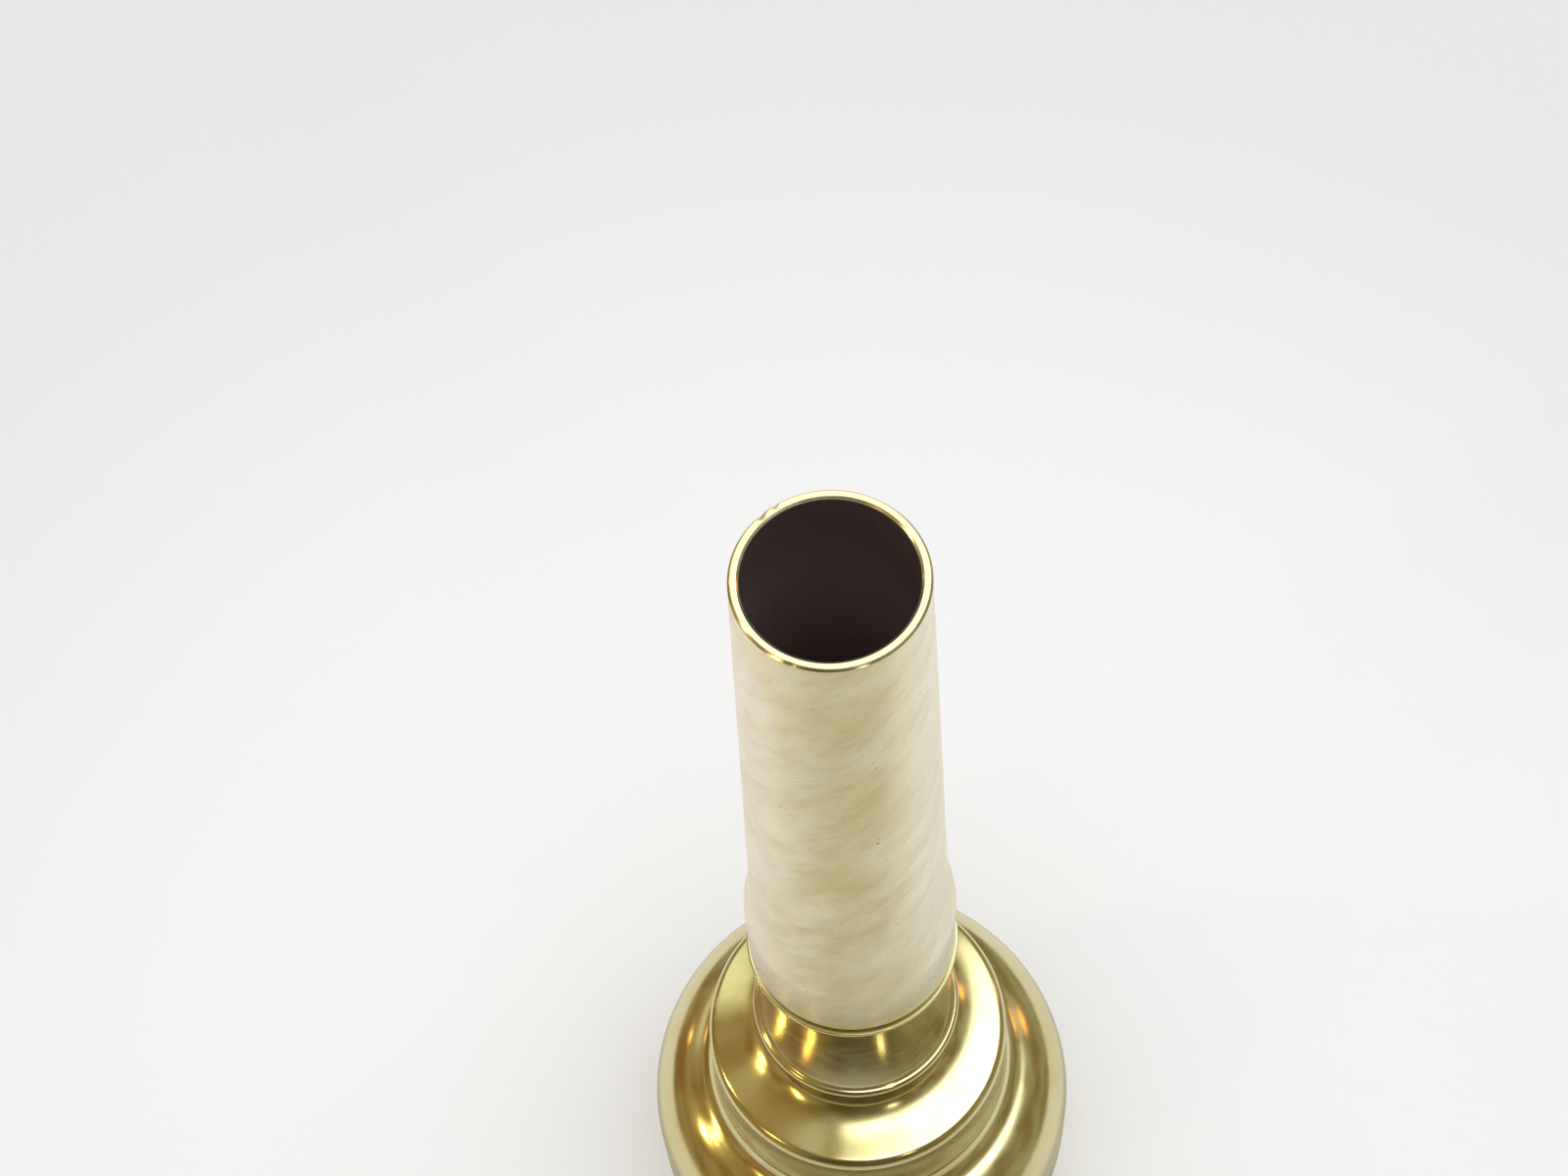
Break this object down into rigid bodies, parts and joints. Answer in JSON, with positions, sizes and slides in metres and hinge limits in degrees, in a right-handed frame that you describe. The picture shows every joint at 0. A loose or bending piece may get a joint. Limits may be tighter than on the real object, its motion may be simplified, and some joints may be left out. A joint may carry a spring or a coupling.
{
  "type": "modular trumpet mouthpiece",
  "caption": "Heavyweight modular trumpet mouthpiece: screw-on rim, cup, gold-plated outer body and silver-plated tapered shank, standing on its rim.",
  "frame": {"origin": "centre of the rim's playing plane, which the part stands on", "axes": "+Z along the bore from the rim to the shank end; +X and +Y are any two square directions of the round body"},
  "size_m": [0.0286, 0.0286, 0.088],
  "materials": {
    "gold_plate": "polished pale gold plate on brass, lightly tarnished",
    "silver_plate": "worn silver plate on brass, mottled yellow tarnish and fine scratches",
    "seal_rubber": "matt black rubber"
  },
  "bodies": {
    "body": {"cup": "gold_plate", "body_shell": "gold_plate", "lower_ring": "seal_rubber", "upper_ring": "seal_rubber"},
    "rim_ring": {"rim_ring": "seal_rubber"},
    "rim": {"rim": "gold_plate"},
    "shank_washer": {"shank_washer": "seal_rubber"},
    "shank": {"shank": "silver_plate"}
  },
  "joints": [
    {"name": "rim_screw", "type": "hinge", "parent": "rim_ring", "child": "rim", "pos_m": [0, 0, 0], "axis": [0, 0, -1], "range_deg": [0, 1170]},
    {"name": "rim_travel", "type": "slide", "parent": "body", "child": "rim_ring", "axis": [0, 0, -1], "range_m": [0, 0.00325]},
    {"name": "shank_screw", "type": "hinge", "parent": "shank_washer", "child": "shank", "pos_m": [0, 0, 0], "axis": [0, 0, 1], "range_deg": [0, 1620]},
    {"name": "shank_travel", "type": "slide", "parent": "body", "child": "shank_washer", "axis": [0, 0, 1], "range_m": [0, 0.0045]}
  ],
  "couplings": [
    {"joint": "rim_screw", "follows": "rim_travel", "rad_per_m": 6283.2},
    {"joint": "shank_screw", "follows": "shank_travel", "rad_per_m": 6283.2}
  ]
}
